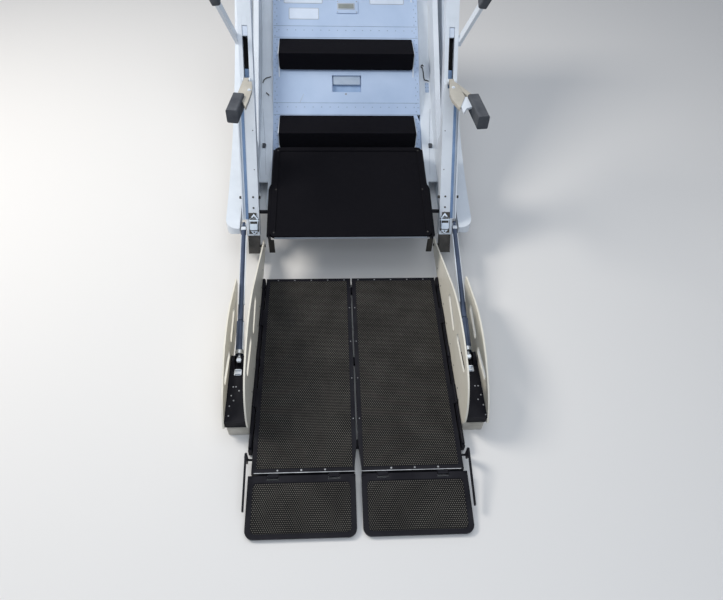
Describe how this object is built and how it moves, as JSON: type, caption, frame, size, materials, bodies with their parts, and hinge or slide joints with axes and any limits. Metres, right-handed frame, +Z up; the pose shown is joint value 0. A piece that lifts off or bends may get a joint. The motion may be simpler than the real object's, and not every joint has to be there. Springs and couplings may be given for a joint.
{
  "type": "aircraft wheelchair lift",
  "caption": "Wheelchair lift on an airstair door, with inclined masts, arched side plates, a folding perforated platform and ramp flaps",
  "frame": {"origin": "middle of the sill hinge axis of the door", "axes": "X to the right along the hinge axis, Y inboard, Z up"},
  "size_m": [1.08, 2.7046, 1.0169],
  "materials": {
    "white_paint": "satin",
    "skin_paint": "gloss",
    "panel_paint": "satin",
    "black_grit": "rough",
    "dark_metal": "satin",
    "ivory_paint": "satin",
    "black_paint": "satin",
    "bright_metal": "polished",
    "grey_block": "matte",
    "steel_bar": "brushed",
    "black_rubber": "matte"
  },
  "bodies": {
    "door": {"door_skin": "skin_paint", "door_frame_left": "white_paint", "door_frame_right": "white_paint", "pan_walls": "white_paint", "tracks": "white_paint", "door_end_frame": "panel_paint", "sill_frame": "panel_paint", "inner_panel": "panel_paint", "step_lower": "black_grit", "step_middle": "black_grit", "step_upper": "black_grit", "step_brackets": "white_paint"},
    "carriage": {"mast_left": "white_paint", "mast_right": "white_paint", "mast_feet": "dark_metal", "runners": "white_paint", "latches": "bright_metal", "stanchions": "panel_paint", "stanchion_grips": "black_rubber", "landing_plate": "black_grit", "landing_legs": "dark_metal"},
    "platform": {"deck_frame": "dark_metal", "side_plate_inner_left": "ivory_paint", "side_plate_inner_right": "ivory_paint", "side_plate_outer_left": "ivory_paint", "side_plate_outer_right": "ivory_paint", "bracket_box_left": "black_paint", "bracket_box_right": "black_paint", "skids": "grey_block"},
    "half_left": {"deck_half_left": "black_paint"},
    "ramp_left": {"ramp_flap_left": "black_paint"},
    "stay_left": {"flap_stay_left": "black_paint"},
    "tube_left": {"strut_tube_left": "black_paint"},
    "rod_left": {"strut_rod_left": "bright_metal"},
    "grip_left": {"grip_arm_left": "white_paint", "grip_pad_left": "black_rubber"},
    "half_right": {"deck_half_right": "black_paint"},
    "ramp_right": {"ramp_flap_right": "black_paint"},
    "stay_right": {"flap_stay_right": "black_paint"},
    "tube_right": {"strut_tube_right": "black_paint"},
    "rod_right": {"strut_rod_right": "bright_metal"},
    "grip_right": {"grip_arm_right": "white_paint", "grip_pad_right": "black_rubber"}
  },
  "joints": [
    {"name": "lift_slide", "type": "slide", "parent": "door", "child": "carriage", "axis": [0, 0.83, 0.5578], "range_m": [0, 1.15]},
    {"name": "platform_fold", "type": "hinge", "parent": "carriage", "child": "platform", "pos_m": [0, -1.40687, -0.86699], "axis": [-1, 0, 0], "range_deg": [0, 45]},
    {"name": "half_hinge_left", "type": "hinge", "parent": "platform", "child": "half_left", "pos_m": [-0.37, -2, -0.8905], "axis": [0, -1, 0], "range_deg": [0, 90]},
    {"name": "ramp_hinge_left", "type": "hinge", "parent": "half_left", "child": "ramp_left", "pos_m": [-0.19, -2.462, -0.9], "axis": [-1, 0, 0], "range_deg": [0, 85]},
    {"name": "stay_hinge_left", "type": "hinge", "parent": "half_left", "child": "stay_left", "pos_m": [-0.367, -2.398, -0.902], "axis": [-1, 0, 0], "range_deg": [0, 43]},
    {"name": "strut_swing_left", "type": "hinge", "parent": "carriage", "child": "tube_left", "pos_m": [-0.463, -1.35264, -0.79317], "axis": [-1, 0, 0], "range_deg": [0, 44]},
    {"name": "strut_slide_left", "type": "slide", "parent": "tube_left", "child": "rod_left", "axis": [0.0548, -0.9979, -0.0358], "range_m": [-0.07, 0]},
    {"name": "grip_hinge_left", "type": "hinge", "parent": "carriage", "child": "grip_left", "pos_m": [-0.42, -1.03358, -0.29125], "axis": [-1, 0, 0], "range_deg": [0, 75]},
    {"name": "half_hinge_right", "type": "hinge", "parent": "platform", "child": "half_right", "pos_m": [0.37, -2, -0.8905], "axis": [0, 1, 0], "range_deg": [0, 90]},
    {"name": "ramp_hinge_right", "type": "hinge", "parent": "half_right", "child": "ramp_right", "pos_m": [0.19, -2.462, -0.9], "axis": [-1, 0, 0], "range_deg": [0, 85]},
    {"name": "stay_hinge_right", "type": "hinge", "parent": "half_right", "child": "stay_right", "pos_m": [0.367, -2.398, -0.902], "axis": [-1, 0, 0], "range_deg": [0, 43]},
    {"name": "strut_swing_right", "type": "hinge", "parent": "carriage", "child": "tube_right", "pos_m": [0.463, -1.35264, -0.79317], "axis": [-1, 0, 0], "range_deg": [0, 44]},
    {"name": "strut_slide_right", "type": "slide", "parent": "tube_right", "child": "rod_right", "axis": [-0.0548, -0.9979, -0.0358], "range_m": [-0.07, 0]},
    {"name": "grip_hinge_right", "type": "hinge", "parent": "carriage", "child": "grip_right", "pos_m": [0.42, -1.03358, -0.29125], "axis": [-1, 0, 0], "range_deg": [0, 75]}
  ],
  "couplings": [
    {"joint": "stay_hinge_left", "follows": "ramp_hinge_left", "ratio": 0.5},
    {"joint": "strut_swing_left", "follows": "platform_fold", "ratio": 0.961},
    {"joint": "strut_slide_left", "follows": "platform_fold", "m_per_rad": -0.085},
    {"joint": "stay_hinge_right", "follows": "ramp_hinge_right", "ratio": 0.5},
    {"joint": "strut_swing_right", "follows": "platform_fold", "ratio": 0.961},
    {"joint": "strut_slide_right", "follows": "platform_fold", "m_per_rad": -0.085}
  ]
}
